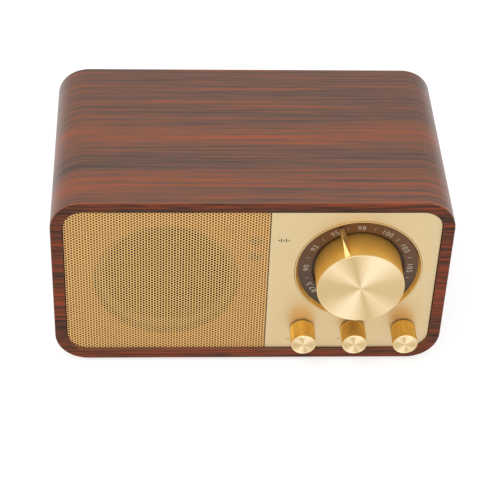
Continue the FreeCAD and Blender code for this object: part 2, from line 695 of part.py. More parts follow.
def speaker_basket():
    outer_front = SPEAKER_OPENING_RADIUS + BASKET_WALL * 1.2
    back_inside = BASKET_BACK - BASKET_WALL
    hole = COIL_OUTER_RADIUS + COIL_GAP_OUTSIDE * 2
    outline = [
        (SPEAKER_OPENING_RADIUS, SPEAKER_FACE),
        (FLANGE_RADIUS, SPEAKER_FACE),
        (FLANGE_RADIUS, FLANGE_BACK),
        (outer_front, FLANGE_BACK),
        (BASKET_BACK_RADIUS, BASKET_BACK),
        (hole, BASKET_BACK),
        (hole, back_inside),
        (basket_inner_radius(back_inside), back_inside),
        (SPEAKER_OPENING_RADIUS, FLANGE_BACK),
    ]
    basket = turned(SPEAKER_CENTRE, outline)
    x, z = SPEAKER_CENTRE
    reach = SPEAKER_OPENING_RADIUS + BASKET_WALL * 4
    windows = (FLANGE_BACK + 3.0, BASKET_BACK - 3.0)
    half = BASKET_WINDOW / 2
    clear = BASKET_BACK_RADIUS * 0.75
    for side in (-1, 1):
        along = sorted((side * clear, side * reach))
        basket = basket.cut(block((x + along[0], x + along[1]), windows, (z - half, z + half)))
        basket = basket.cut(block((x - half, x + half), windows, (z + along[0], z + along[1])))
    for screw in speaker_screws():
        basket = basket.cut(screw)
    return basket


def speaker_top_plate():
    inner = COIL_OUTER_RADIUS + COIL_GAP_OUTSIDE
    return ring(SPEAKER_CENTRE, MAGNET_RADIUS, inner, (BASKET_BACK, BASKET_BACK + TOP_PLATE))


def speaker_magnet():
    front = BASKET_BACK + TOP_PLATE
    inner = COIL_OUTER_RADIUS + COIL_GAP_OUTSIDE + 1
    return ring(SPEAKER_CENTRE, MAGNET_RADIUS + 0.5, inner, (front, front + MAGNET_HEIGHT))


def speaker_yoke():
    front = BASKET_BACK + TOP_PLATE + MAGNET_HEIGHT
    plate = rod(SPEAKER_CENTRE, MAGNET_RADIUS, (front, front + YOKE_PLATE))
    return plate.fuse(rod(SPEAKER_CENTRE, COIL_INNER_RADIUS - COIL_GAP_INSIDE, (BASKET_BACK, front)))


def voice_coil():
    return ring(SPEAKER_CENTRE, COIL_OUTER_RADIUS, COIL_INNER_RADIUS, (COIL_FRONT, COIL_FRONT + COIL_LENGTH))


def speaker_cone():
    neck = COIL_OUTER_RADIUS
    outline = [
        (neck, COIL_FRONT + CONE_PAPER),
        (CONE_RADIUS, CONE_EDGE),
        (CONE_RADIUS, CONE_EDGE + CONE_PAPER),
        (neck, COIL_FRONT + CONE_PAPER * 2.4),
    ]
    return turned(SPEAKER_CENTRE, outline)


def dome(centre, radius, height, thickness, y):
    """A shallow dome, bulging towards the front from its rim at y."""
    cap_r = (radius * radius + height * height) / (2 * height)
    middle = Vector(centre[0], y - height + cap_r, centre[1])
    cap = Part.makeSphere(cap_r, middle).cut(Part.makeSphere(cap_r - thickness, middle))
    reach = 2 * cap_r + 1
    room = block(
        (centre[0] - reach, centre[0] + reach),
        (y - height - 1, y),
        (centre[1] - reach, centre[1] + reach),
    )
    return cap.common(room)


def speaker_dust_cap():
    return dome(SPEAKER_CENTRE, COIL_OUTER_RADIUS, DUST_CAP_HEIGHT, CONE_PAPER, COIL_FRONT)


def speaker_surround():
    """A half-round rubber roll between the cone's edge and the basket."""
    x, z = SPEAKER_CENTRE
    inner, outer = CONE_RADIUS, SPEAKER_OPENING_RADIUS
    middle = (inner + outer) / 2
    front = CONE_EDGE
    back = CONE_EDGE + CONE_PAPER
    rise = (outer - inner) * 0.4

    def at(r, y):
        return Vector(x + r, y, z)

    outside = Part.Arc(at(inner, front), at(middle, front - rise), at(outer, front)).toShape()
    inside = Part.Arc(at(outer, back), at(middle, back - rise), at(inner, back)).toShape()
    ends = [
        Part.LineSegment(at(outer, front), at(outer, back)).toShape(),
        Part.LineSegment(at(inner, back), at(inner, front)).toShape(),
    ]
    face = Part.Face(Part.Wire([outside, ends[0], inside, ends[1]]))
    return face.revolve(Vector(x, 0, z), Vector(0, 1, 0), 360)


def speaker_spider():
    back = COIL_FRONT + SPIDER_BEHIND_COIL_FRONT
    outer = basket_inner_radius(back) - SPIDER_FIT
    return ring(SPEAKER_CENTRE, outer, COIL_OUTER_RADIUS, (back - SPIDER_THICKNESS, back))


def terminal_places():
    x, z = SPEAKER_CENTRE
    return [(x + side * 3.5, z + MAGNET_RADIUS + 4.5) for side in (-1, 1)]


def speaker_terminals():
    """An insulating strip on the back of the basket, with two solder tags."""
    x, z = SPEAKER_CENTRE
    y = BASKET_BACK
    strip = block((x - 6, x + 6), (y, y + 1.0), (z + MAGNET_RADIUS + 0.3, z + MAGNET_RADIUS + 7.5))
    tags = [block((px - 0.9, px + 0.9), (y + 1.0, y + 1.5), (pz - 2, pz + 2)) for px, pz in terminal_places()]
    return all_of([strip] + tags)


# Battery.
def holder_span():
    right = MAIN_BOARD_LEFT - HOLDER_FROM_BOARD
    length = CELL_LENGTH + 2 * (HOLDER_WALL + CELL_FIT)
    width = 2 * (CELL_RADIUS + CELL_FIT + HOLDER_WALL)
    back = REAR_PANEL_INSIDE - REAR_BLOCK_LENGTH - HOLDER_BEFORE_BLOCKS
    return (right - length, right), (back - width, back)


def battery_holder():
    x, y = holder_span()
    z = (CABINET_WALL, CABINET_WALL + HOLDER_HEIGHT)
    wall = HOLDER_WALL
    pocket = block((x[0] + wall, x[1] - wall), (y[0] + wall, y[1] - wall), (z[0] + wall, z[1] + 1))
    return block(x, y, z).cut(pocket)


def battery_cell():
    x, y = holder_span()
    left = x[0] + HOLDER_WALL + CELL_FIT
    middle_y = (y[0] + y[1]) / 2
    middle_z = CABINET_WALL + HOLDER_WALL + CELL_RADIUS
    can = Part.makeCylinder(CELL_RADIUS, CELL_LENGTH - 1, Vector(left, middle_y, middle_z), Vector(1, 0, 0))
    nipple = Vector(left + CELL_LENGTH - 1, middle_y, middle_z)
    return can.fuse(Part.makeCylinder(3.0, 1.0, nipple, Vector(1, 0, 0)))


# Leads held inside the cabinet: straight runs joined by tangent arcs.
def lead_path(name, points):
    """A wire through the points, each corner rounded as far as its two runs allow."""
    corners = [Vector(*p) for p in points]
    edges = []
    start = corners[0]
    for before, here, after in zip(corners, corners[1:], corners[2:]):
        arrive = (here - before).normalize()
        leave = (after - here).normalize()
        turn = arrive.getAngle(leave)
        cut_back = 0.45 * min((here - before).Length, (after - here).Length)
        radius = cut_back / math.tan(turn / 2)
        begin = here - arrive * cut_back
        finish = here + leave * cut_back
        inward = (leave - arrive).normalize()
        centre = here + inward * (radius / math.cos(turn / 2))
        middle = centre - inward * radius
        edges.append(Part.LineSegment(start, begin).toShape())
        edges.append(Part.Arc(begin, middle, finish).toShape())
        start = finish
        print(name, "bend radius", round(radius, 2))
    edges.append(Part.LineSegment(start, corners[-1]).toShape())
    return Part.Wire(edges)


def lead(name, points):
    path = lead_path(name, points)
    heading = Vector(*points[1]) - Vector(*points[0])
    circle = Part.Wire([Part.Circle(Vector(*points[0]), heading, LEAD_RADIUS).toShape()])
    tube = path.makePipeShell([circle], True, True)
    share = tube.Volume / (math.pi * LEAD_RADIUS**2 * path.Length)
    print(name, "length", round(path.Length, 1), "volume over section times length", round(share, 4))
    return tube


def speaker_leads():
    leads = []
    for index, (x, z) in enumerate(terminal_places()):
        y = BASKET_BACK + 1.5
        end_x = MAIN_BOARD_LEFT + 4 + 4 * index
        end_y = MAIN_BOARD_FRONT + 12
        points = [
            (x, y, z),
            (x, y + 12, z),
            (x + 14, y + 20, z - 14),
            (end_x, end_y, MAIN_BOARD_TOP + 14),
            (end_x, end_y, MAIN_BOARD_TOP),
        ]
        leads.append(lead("speaker_leads", points))
    return all_of(leads)


def battery_leads():
    right = holder_span()[0][1]
    leads = []
    for from_front in (3.0, 14.0):
        y = MAIN_BOARD_FRONT + from_front
        z = CABINET_WALL + HOLDER_HEIGHT - 1.2
        end_x = MAIN_BOARD_LEFT + 3.0 + 6.0 * (from_front < 10)
        leads.append(lead("battery_leads", [(right, y, z), (end_x, y, z), (end_x, y, MAIN_BOARD_TOP)]))
    return all_of(leads)


def aerial_wire():
    """A wire from the receiver up the side wall and along under the ceiling."""
    side = inner_half_width() - 6
    y = MAIN_BOARD_FRONT + 23
    top = ceiling() - 2 * LEAD_RADIUS
    points = [
        (MAIN_BOARD_RIGHT - 9, y, MAIN_BOARD_TOP),
        (MAIN_BOARD_RIGHT - 9, y, MAIN_BOARD_TOP + 12),
        (side, y - 4, ceiling() / 2),
        (side - 4, y - 6, top - 8),
        (side - 22, y - 8, top),
        (8 - side, y - 8, top),
    ]
    return lead("aerial_wire", points)


def connector_spans():
    """The two ribbon connectors: on the back of the control board and on the main board."""
    x = (DIAL_CENTRE[0] - RIBBON_WIDTH / 2 - 1, DIAL_CENTRE[0] + RIBBON_WIDTH / 2 + 1)
    back = CONTROL_BOARD_FACE + BOARD_THICKNESS
    first = (x, (back, back + CONNECTOR_HEIGHT), (KNOB_ROW_HEIGHT + 4, KNOB_ROW_HEIGHT + 9))
    front = MAIN_BOARD_FRONT + 14
    second = (x, (front, front + 5), (MAIN_BOARD_TOP, MAIN_BOARD_TOP + CONNECTOR_HEIGHT))
    return first, second


def ribbon_connectors():
    return all_of([block(*span) for span in connector_spans()])


def control_ribbon():
    """A flat cable that leaves the control board backwards and drops on to the main board."""
    first, second = connector_spans()
    x = DIAL_CENTRE[0]
    z = sum(first[2]) / 2
    y = sum(second[1]) / 2
    end_z = MAIN_BOARD_TOP + CONNECTOR_HEIGHT
    points = [(x, first[1][1], z), (x, first[1][1] + 14, z), (x, y, z + 16), (x, y, end_z)]
    path = lead_path("control_ribbon", points)
    half = RIBBON_WIDTH / 2
    low, high = z - RIBBON_THICKNESS / 2, z + RIBBON_THICKNESS / 2
    corners = [(x - half, low), (x + half, low), (x + half, high), (x - half, high)]
    section = [Vector(cx, first[1][1], cz) for cx, cz in corners]
    profile = Part.makePolygon(section + section[:1])
    return path.makePipeShell([profile], True, True)


NODES = {
    "cabinet": cabinet(),
    "feet": feet(),
    "front_corner_blocks": front_corner_blocks(),
    "rear_corner_blocks": rear_corner_blocks(),
    "baffle_screws": all_of(baffle_screws()),
    "rear_screws": all_of(rear_screws()),
    "front_baffle": front_baffle(),
    "grille": grille(),
    "control_panel": control_panel(),
    "dial_bezel": dial_bezel(),
    "dial_plate": dial_plate(),
    "tuning_control": tuning_control(),
    "tuning_nut": tuning_nut(),
    "tuning_shaft": tuning_shaft(),
    "tuning_hub": tuning_hub(),
    "tuning_knob": tuning_knob(),
    "tuning_pointer": tuning_pointer(),
    "control_board": control_board(),
    "control_board_screws": all_of(control_board_screws()),
    "indicator_board": indicator_board(),
    "indicator_led": indicator_led(),
    "microphone": microphone(),
    "speaker_gasket": speaker_gasket(),
    "speaker_basket": speaker_basket(),
    "speaker_screws": all_of(speaker_screws()),
    "speaker_top_plate": speaker_top_plate(),
    "speaker_magnet": speaker_magnet(),
    "speaker_yoke": speaker_yoke(),
    "speaker_cone": speaker_cone(),
    "speaker_dust_cap": speaker_dust_cap(),
    "speaker_surround": speaker_surround(),
    "speaker_spider": speaker_spider(),
    "voice_coil": voice_coil(),
    "speaker_terminals": speaker_terminals(),
    "main_board": main_board(),
    "board_standoffs": board_standoffs(),
    "main_board_screws": all_of(main_board_screws()),
    "receiver_chip": receiver_chip(),
    "amplifier_chip": amplifier_chip(),
    "capacitors": capacitors(),
    "charging_socket": charging_socket(),
    "aux_jack": aux_jack(),
    "rear_panel": rear_panel(),
    "battery_holder": battery_holder(),
    "battery_cell": battery_cell(),
    "speaker_leads": speaker_leads(),
    "battery_leads": battery_leads(),
    "aerial_wire": aerial_wire(),
    "ribbon_connectors": ribbon_connectors(),
    "control_ribbon": control_ribbon(),
}

for name, centre in zip(("volume", "tone", "function"), KNOB_CENTRES):
    NODES[name + "_control"] = rotary_control(centre)
    NODES[name + "_shaft"] = rotary_shaft(centre)
    NODES[name + "_knob"] = small_knob(centre)

# The radio's own frame: centred under the whole object, with the feet's soles at Z = 0.
to_own_frame = Vector(0, (TUNING_KNOB_REACH - CABINET_DEPTH) / 2, FOOT_HEIGHT)
os.makedirs("parts", exist_ok=True)
for name, shape in NODES.items():
    shape.translate(to_own_frame)
    shape.exportStep("parts/" + name + ".step")
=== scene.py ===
import json
import math

import bpy
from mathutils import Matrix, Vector

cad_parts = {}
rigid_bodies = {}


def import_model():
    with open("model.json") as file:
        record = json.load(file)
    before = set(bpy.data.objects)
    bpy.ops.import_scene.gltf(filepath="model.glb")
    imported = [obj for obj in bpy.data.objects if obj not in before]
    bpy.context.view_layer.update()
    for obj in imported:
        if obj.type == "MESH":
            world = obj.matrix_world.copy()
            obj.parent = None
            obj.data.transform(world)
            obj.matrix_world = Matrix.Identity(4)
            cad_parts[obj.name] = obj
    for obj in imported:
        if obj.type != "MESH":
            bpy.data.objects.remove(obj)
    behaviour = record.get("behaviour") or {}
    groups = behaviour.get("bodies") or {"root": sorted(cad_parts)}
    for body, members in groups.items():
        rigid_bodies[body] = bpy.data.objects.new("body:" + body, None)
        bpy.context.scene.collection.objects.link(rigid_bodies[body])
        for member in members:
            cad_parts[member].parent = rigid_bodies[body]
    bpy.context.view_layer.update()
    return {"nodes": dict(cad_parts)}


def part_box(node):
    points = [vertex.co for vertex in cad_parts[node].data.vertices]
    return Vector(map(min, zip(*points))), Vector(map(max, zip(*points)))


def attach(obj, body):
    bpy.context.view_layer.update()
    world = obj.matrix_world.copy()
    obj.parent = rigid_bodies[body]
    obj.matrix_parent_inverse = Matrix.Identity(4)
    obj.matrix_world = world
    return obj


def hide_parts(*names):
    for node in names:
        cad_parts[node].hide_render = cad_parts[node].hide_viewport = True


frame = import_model()
nodes = frame["nodes"]
bpy.ops.object.select_all(action="DESELECT")


# Camera. It stands in front of the radio, a little to the left, and looks down on it
# at about 41 degrees through a long lens, so the sides converge only a little.
bpy.ops.object.camera_add(
    location=(-0.0368, -0.5235, 0.4853),
    rotation=tuple(math.radians(turn) for turn in (48.774, -2.055, -2.409)),
)
camera = bpy.context.object
camera.data.sensor_width = 36
camera.data.lens = 123.40
bpy.context.scene.camera = camera
bpy.context.scene.view_settings.view_transform = "Standard"


# Studio. A white table under an even white sky, with a large soft lamp above and to the
# left, weaker ones in front and to the right, and a strip in front for the spun metal.
class Value:
    """A number that varies over a surface: a node's socket, wrapped so that arithmetic on
    it adds Math nodes."""

    def __init__(self, finish, socket):
        self.finish = finish
        self.socket = socket

    def maths(self, operation, *numbers):
        made = self.finish.node("Math", {"operation": operation}, dict(enumerate(numbers)))
        return Value(self.finish, made.outputs[0])

    def __add__(self, other):
        return self.maths("ADD", self, other)

    def __sub__(self, other):
        return self.maths("SUBTRACT", self, other)

    def __mul__(self, other):
        return self.maths("MULTIPLY", self, other)

    def __truediv__(self, other):
        return self.maths("DIVIDE", self, other)

    def __rsub__(self, other):
        return self.maths("SUBTRACT", other, self)

    __radd__ = __add__
    __rmul__ = __mul__

    def between(self, low, high):
        """0 below low, 1 above high, and smooth between them."""
        made = self.finish.node(
            "MapRange",
            {"interpolation_type": "SMOOTHSTEP"},
            {"Value": self, "From Min": low, "From Max": high},
        )
        return Value(self.finish, made.outputs["Result"])


class Finish:
    """A material made of nodes, with its patterns laid out in millimetres."""

    def __init__(self, name, colour, roughness, **constants):
        self.material = bpy.data.materials.new(name)
        self.material.use_nodes = True
        self.tree = self.material.node_tree
        self.shader = self.tree.nodes["Principled BSDF"]
        self.shader.inputs["Base Color"].default_value = colour
        self.shader.inputs["Roughness"].default_value = roughness
        for socket, constant in constants.items():
            self.shader.inputs[socket.replace("_", " ")].default_value = constant

    def join(self, given, socket):
        """Links a value or a socket to a socket, or sets a constant on it."""
        if isinstance(given, Value):
            given = given.socket
        if isinstance(given, bpy.types.NodeSocket):
            self.tree.links.new(given, socket)
        else:
            socket.default_value = given

    def node(self, kind, settings, inputs):
        """Adds a node. Its settings go first, then the constants or links of its sockets."""
        made = self.tree.nodes.new("ShaderNode" + kind)
        for name, setting in settings.items():
            if name == "stops":
                self.set_stops(made.color_ramp, setting)
            else:
                setattr(made, name, setting)
        for name, given in inputs.items():
            self.join(given, made.inputs[name])
        return made

    def set_stops(self, ramp, stops):
        while len(ramp.elements) < len(stops):
            ramp.elements.new(1.0)
        for element, (position, colour) in zip(ramp.elements, stops):
            element.position = position
            element.color = colour

    def place(self, grain=(1, 1, 1), centre=(0, 0, 0)):
        """Millimetres from a centre, each axis scaled by its grain."""
        coordinates = self.node("TexCoord", {}, {}).outputs["Object"]
        scale = [1000 * along for along in grain]
        shift = [-middle * along for middle, along in zip(centre, grain)]
        scaled = self.node(
            "VectorMath", {"operation": "MULTIPLY_ADD"}, {0: coordinates, 1: scale, 2: shift}
        )
        return scaled.outputs[0]

    def axis(self, letter, centre=(0, 0, 0)):
        made = self.node("SeparateXYZ", {}, {0: self.place(centre=centre)})
        return Value(self, made.outputs[letter])

    def distance(self, centre):
        """Millimetres from an axis that runs along Y through the centre."""
        flat = self.place((1, 0, 1), centre)
        made = self.node("VectorMath", {"operation": "LENGTH"}, {0: flat})
        return Value(self, made.outputs["Value"])

    def noise(self, grain, detail=2.0, distortion=0.0):
        """Noise whose grain along each axis is that many features in a millimetre."""
        made = self.node(
            "TexNoise",
            {},
            {"Vector": self.place(grain), "Scale": 1.0, "Detail": detail, "Distortion": distortion},
        )
        return Value(self, made.outputs[0])

    def ramp(self, value, stops):
        return self.node("ValToRGB", {"stops": stops}, {0: value}).outputs[0]

    def mix(self, share, first, second):
        made = self.node("Mix", {"data_type": "RGBA"}, {0: share, 6: first, 7: second})
        return made.outputs[2]

    def feed(self, socket, given):
        self.join(given, self.shader.inputs[socket])

    def relief(self, height, depth):
        """Raises the surface by depth millimetres where height is 1."""
        bump = self.node("Bump", {}, {"Strength": 1.0, "Distance": depth / 1000, "Height": height})
        self.feed("Normal", bump.outputs[0])


def tint(red, green, blue):
    """A colour from its 0 to 255 display values."""
    channels = [channel / 255 for channel in (red, green, blue)]
    linear = [c / 12.92 if c <= 0.04045 else ((c + 0.055) / 1.055) ** 2.4 for c in channels]
    return (*linear, 1.0)


white = (1.0, 1.0, 1.0, 1.0)
bpy.ops.mesh.primitive_plane_add(size=8.0)
floor = bpy.context.object
floor.name = "studio_table"
table_paint = Finish(
    "table_paint", tint(178, 178, 178), 0.9, Emission_Color=white, Emission_Strength=0.66
)
floor.data.materials.append(table_paint.material)

sky = bpy.data.worlds.new("studio_sky")
sky.use_nodes = True
sky.node_tree.nodes["Background"].inputs["Color"].default_value = white
sky.node_tree.nodes["Background"].inputs["Strength"].default_value = 0.72
bpy.context.scene.world = sky


def soft_lamp(name, location, width, height, power):
    """A rectangular lamp that faces the middle of the radio."""
    facing = (Vector((0, 0, 0.03)) - Vector(location)).to_track_quat("-Z", "Y").to_euler()
    bpy.ops.object.light_add(type="AREA", location=location, rotation=facing)
    lamp = bpy.context.object
    lamp.name = name
    lamp.data.shape = "RECTANGLE"
    lamp.data.size = width
    lamp.data.size_y = height
    lamp.data.energy = power


soft_lamp("key_lamp", (-0.55, -0.50, 1.30), 0.90, 0.90, 6.8)
soft_lamp("front_lamp", (-0.05, -0.85, 0.72), 0.45, 0.45, 2.0)
soft_lamp("fill_lamp", (1.00, -0.60, 0.80), 0.60, 0.90, 3.0)
soft_lamp("front_strip", (0.00, -1.30, 0.20), 0.12, 0.80, 1.5)


# Cabinet. A tube of board, wrapped in dark reddish-brown wood-grain film and sealed with
# satin lacquer. The grain runs round the tube, and along the rim at the front and back.
cabinet_front, cabinet_depth, cabinet_height = -38.0, 85.4, 82.0
round_wander, rim_wander = 8, 16
grain_across_depth = [
    0.56, 0.47, 0.62, 0.52, 0.44, 0.40, 0.50, 0.66,
    0.55, 0.46, 0.42, 0.50, 0.46, 0.50, 0.44, 0.50,
]
grain_across_height = [
    0.50, 0.62, 0.44, 0.58, 0.44, 0.62, 0.52, 0.66, 0.54,
    0.48, 0.60, 0.50, 0.56, 0.46, 0.60, 0.36, 0.62,
]


def level_stops(levels):
    """Evenly spaced stops of a grey ramp."""
    last = len(levels) - 1
    return [(index / last, (level, level, level, 1.0)) for index, level in enumerate(levels)]


def wood_film():
    """Broad bands, streaks and fine fibres add up to one redness, from blackish to red. The front and
    back rims take it from a darker ramp: painted shade.
    """
    film = Finish("wood_film", tint(96, 58, 44), 0.36, Specular_IOR_Level=0.1, Coat_Roughness=0.25)
    facing = film.node("SeparateXYZ", {}, {0: film.node("NewGeometry", {}, {}).outputs["Normal"]})
    sideways = Value(film, facing.outputs["Y"])
    on_rim = (sideways * sideways).between(0.35, 0.65)
    round_drift = film.noise((0.012, 0.05, 0.012), 3.0) - 0.5
    rim_drift = film.noise((0.03, 0.03, 0.08), 3.0) - 0.5
    depth = (film.axis("Y") + round_drift * round_wander - cabinet_front) / cabinet_depth
    height = (film.axis("Z") + rim_drift * rim_wander) / cabinet_height
    round_bands = film.ramp(depth, level_stops(grain_across_depth))
    rim_bands = film.ramp(height, level_stops(grain_across_height))
    bands = film.mix(on_rim, round_bands, rim_bands)
    band = Value(film, film.node("SeparateColor", {}, {0: bands}).outputs[0])
    streaks = film.noise((0.018, 1.4, 0.018), 5.0, 0.25)
    rim_streaks = film.noise((0.045, 0.045, 1.1), 4.0, 0.3)
    streak = streaks * (1 - on_rim) + rim_streaks * on_rim
    fibres = film.noise((0.07, 4.5, 0.07), 3.0)
    rim_fibres = film.noise((0.10, 0.10, 4.0), 3.0)
    fibre = fibres * (1 - on_rim) + rim_fibres * on_rim
    redness = (streak - 0.5) * 1.25 + (fibre - 0.5) * 0.75 + band
    round_colour = film.ramp(
        redness,
        [
            (0.22, tint(80, 66, 61)),
            (0.36, tint(98, 74, 64)),
            (0.50, tint(112, 78, 63)),
            (0.62, tint(128, 80, 61)),
            (0.78, tint(150, 80, 54)),
        ],
    )
    # Painted shade: the rim faces get darker colours than the top and sides.
    rim_painted_shade_colour = film.ramp(
        redness,
        [
            (0.22, tint(32, 24, 22)),
            (0.36, tint(58, 40, 31)),
            (0.50, tint(84, 46, 30)),
            (0.62, tint(104, 50, 29)),
            (0.78, tint(130, 56, 31)),
        ],
    )
    film.feed("Base Color", film.mix(on_rim, round_colour, rim_painted_shade_colour))
    film.feed("Roughness", 0.28 + fibre * 0.22)
    film.feed("Coat Weight", 0.30 - on_rim * 0.28)
    film.relief(fibre + streak * 0.5, 0.03)
    return film


def only_selected(piece):
    bpy.ops.object.select_all(action="DESELECT")
    piece.select_set(True)
    bpy.context.view_layer.objects.active = piece


def apply_modifier(piece, kind, **settings):
    modifier = piece.modifiers.new(kind.lower(), kind)
    for name, setting in settings.items():
        setattr(modifier, name, setting)
    bpy.ops.object.modifier_apply(modifier=modifier.name)


def eased_copy(node, name, width, segments=2):
    """A copy of a CAD node, with its sharp edges rounded off by a small width."""
    piece = bpy.data.objects.new(name, nodes[node].data.copy())
    bpy.context.scene.collection.objects.link(piece)
    only_selected(piece)
    bpy.ops.mesh.customdata_custom_splitnormals_clear()
    bpy.ops.object.mode_set(mode="EDIT")
    bpy.ops.mesh.select_all(action="SELECT")
    bpy.ops.mesh.remove_doubles(threshold=1e-6)
    bpy.ops.mesh.dissolve_limited(angle_limit=math.radians(0.5))
    bpy.ops.object.mode_set(mode="OBJECT")
    bpy.ops.object.shade_smooth_by_angle(angle=math.radians(30))
    apply_modifier(
        piece,
        "BEVEL",
        width=width,
        segments=segments,
        limit_method="ANGLE",
        angle_limit=math.radians(30),
        harden_normals=True,
    )
    return piece


def fit(piece, finish, body, slot, *stands_for):
    """Gives a piece its finish, and sets it on its body in place of its CAD nodes."""
    piece.data.materials.clear()
    piece.data.materials.append(finish.material)
    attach(piece, body)
    if stands_for:
        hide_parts(*stands_for)


cabinet_wrapped = eased_copy("cabinet", "cabinet_wrapped", 0.0004, 3)
fit(cabinet_wrapped, wood_film(), "root", "wood_wrap", "cabinet")


# Finishes that several pieces inside share: a base colour that clouds slightly, with a
# fine surface texture of the size that the real material has.
def dress(finish, *names):
    """Gives a finish to CAD nodes that stay as they are."""
    for name in names:
        if nodes[name].material_slots:
            nodes[name].material_slots[0].material = finish.material
        else:
            nodes[name].data.materials.append(finish.material)


def shaded(colour, share):
    """The colour made darker or lighter by a share of its own brightness."""
    return tuple(min(1.0, channel * share) for channel in colour[:3]) + (1.0,)


def clouded(name, colour, roughness, grain=2.0, depth=0.01, shade=0.75, **constants):
    """A plain colour, clouded by a noise that also roughens the surface by its depth."""
    finish = Finish(name, colour, roughness, **constants)
    cloud = finish.noise((grain, grain, grain), 4.0)
    darker = shaded(colour, shade)
    finish.feed("Base Color", finish.mix(cloud.between(0.35, 0.65), colour, darker))
    finish.feed("Roughness", roughness + (cloud - 0.5) * 0.2)
    finish.relief(cloud, depth)
    return finish


def board_and_traces():
    """Green solder resist with paler traces under it."""
    finish = Finish("circuit_board", tint(24, 84, 52), 0.35)
    layout = {"Vector": finish.place((0.25, 0.25, 0.25)), "Scale": 1.0, "Mortar Size": 0.05}
    lines = finish.node("TexBrick", {}, layout)
    trace = Value(finish, lines.outputs["Fac"])
    finish.feed("Base Color", finish.mix(trace, tint(20, 78, 46), tint(48, 120, 74)))
    finish.relief(trace, 0.03)
    return finish


plated_steel = clouded("plated_steel", tint(190, 188, 182), 0.28, 1.2, 0.004, 0.85, Metallic=1.0)
black_steel = clouded("black_steel", tint(34, 34, 36), 0.4, 1.5, 0.01, Metallic=0.6)
raw_wood = clouded("raw_wood", tint(196, 160, 112), 0.8, 0.8, 0.05)
cone_paper = clouded("cone_paper", tint(38, 22, 18), 0.9, 1.6, 0.05, Specular_IOR_Level=0.1)
surround_rubber = clouded(
    "surround_rubber", tint(122, 86, 64), 0.7, 2.0, 0.01, Specular_IOR_Level=0.15
)
black_plastic = clouded("black_plastic", tint(26, 26, 28), 0.5, 3.0, 0.02)
dress(raw_wood, "front_corner_blocks", "rear_corner_blocks")
dress(black_steel, "baffle_screws", "speaker_screws", "control_board_screws")
dress(plated_steel, "main_board_screws", "board_standoffs", "tuning_nut", "tuning_control")
dress(black_steel, "volume_control", "tone_control", "function_control", "speaker_basket")
dress(plated_steel, "tuning_shaft", "volume_shaft", "tone_shaft", "function_shaft")
dress(plated_steel, "speaker_top_plate", "speaker_yoke", "speaker_terminals", "charging_socket")
dress(board_and_traces(), "main_board", "control_board", "indicator_board")
dress(clouded("ferrite", tint(52, 50, 50), 0.7, 3.0, 0.03), "speaker_magnet")
dress(cone_paper, "speaker_cone", "speaker_dust_cap")
dress(surround_rubber, "speaker_surround")
dress(clouded("spider_cloth", tint(176, 128, 62), 0.9, 4.0, 0.06), "speaker_spider")
dress(clouded("gasket_foam", tint(40, 40, 42), 0.95, 5.0, 0.08), "speaker_gasket")
dress(clouded("copper_wire", tint(190, 104, 60), 0.3, 6.0, 0.02, Metallic=1.0), "voice_coil")
dress(clouded("chip_resin", tint(30, 30, 32), 0.55, 6.0, 0.01), "receiver_chip", "amplifier_chip")
dress(clouded("capacitor_sleeve", tint(28, 44, 96), 0.35, 1.0, 0.01), "capacitors")
dress(clouded("cell_sleeve", tint(48, 120, 72), 0.35, 0.6, 0.01), "battery_cell")
dress(clouded("wire_insulation", tint(168, 34, 30), 0.45, 2.0, 0.01), "speaker_leads", "battery_leads")
dress(clouded("aerial_insulation", tint(34, 34, 36), 0.5, 2.0, 0.01), "aerial_wire")
dress(clouded("white_plastic", tint(226, 222, 210), 0.4, 2.0, 0.01, 0.92), "ribbon_connectors")
dress(clouded("ribbon_plastic", tint(170, 172, 176), 0.45, 1.5, 0.02), "control_ribbon")
dress(clouded("led_resin", tint(62, 40, 38), 0.15, 1.0, 0.002), "indicator_led")
dress(black_plastic, "microphone", "battery_holder", "tuning_hub", "aux_jack", "rear_panel")


# Front baffle. A brown moulding behind the sheet-metal skins, screwed to the corner blocks.
# Its face behind the grille is painted bronze, so that the holes don't show dark there.
baffle_seam, baffle_left, baffle_face = 6.0, -71.0, -36.0
paint_edge = 0.4
upper_port, lower_port = (1.225, 0, 61.9), (1.225, 0, 54.3)
port_radius, port_edge = 2.0, 2.3


def bronzed_moulding():
    """The paint stops at the seam, at the left end and round the two dark ports."""
    brown = tint(80, 54, 38)
    finish = Finish("bronzed_moulding", brown, 0.55)
    grit = finish.noise((3.0, 3.0, 3.0), 3.0)
    leftwards = finish.axis("X") * -1
    left_of_seam = leftwards.between(-baffle_seam, paint_edge - baffle_seam)
    at_left_end = leftwards.between(-baffle_left - paint_edge, -baffle_left)
    behind_face = finish.axis("Y").between(baffle_face, baffle_face + paint_edge)
    painted = left_of_seam * (1 - behind_face) * (1 - at_left_end)
    off_upper_port = finish.distance(upper_port).between(port_radius, port_edge)
    off_lower_port = finish.distance(lower_port).between(port_radius, port_edge)
    face = finish.mix(painted, brown, tint(140, 82, 20))
    finish.feed("Base Color", finish.mix(off_upper_port * off_lower_port, tint(14, 12, 14), face))
    finish.feed("Roughness", 0.45 + grit * 0.2)
    finish.relief(grit, 0.02)
    return finish


dress(bronzed_moulding(), "front_baffle")


# Grille. A gold-anodised aluminium sheet, punched with staggered round holes right out to
# its cut edges, and set into the front of the cabinet with a narrow gap all round.
hole_pitch = 0.00125
column_pitch = hole_pitch * math.cos(math.radians(30))
hole_radius = 0.00050
sheet_thickness = 0.00012
corner_radius = 0.00775
grille_low, grille_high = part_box("grille")


def set_origin_home(piece):
    """Puts the place of a piece into its mesh, so that its object sits at the origin."""
    only_selected(piece)
    bpy.ops.object.transform_apply(location=True, rotation=True, scale=True)


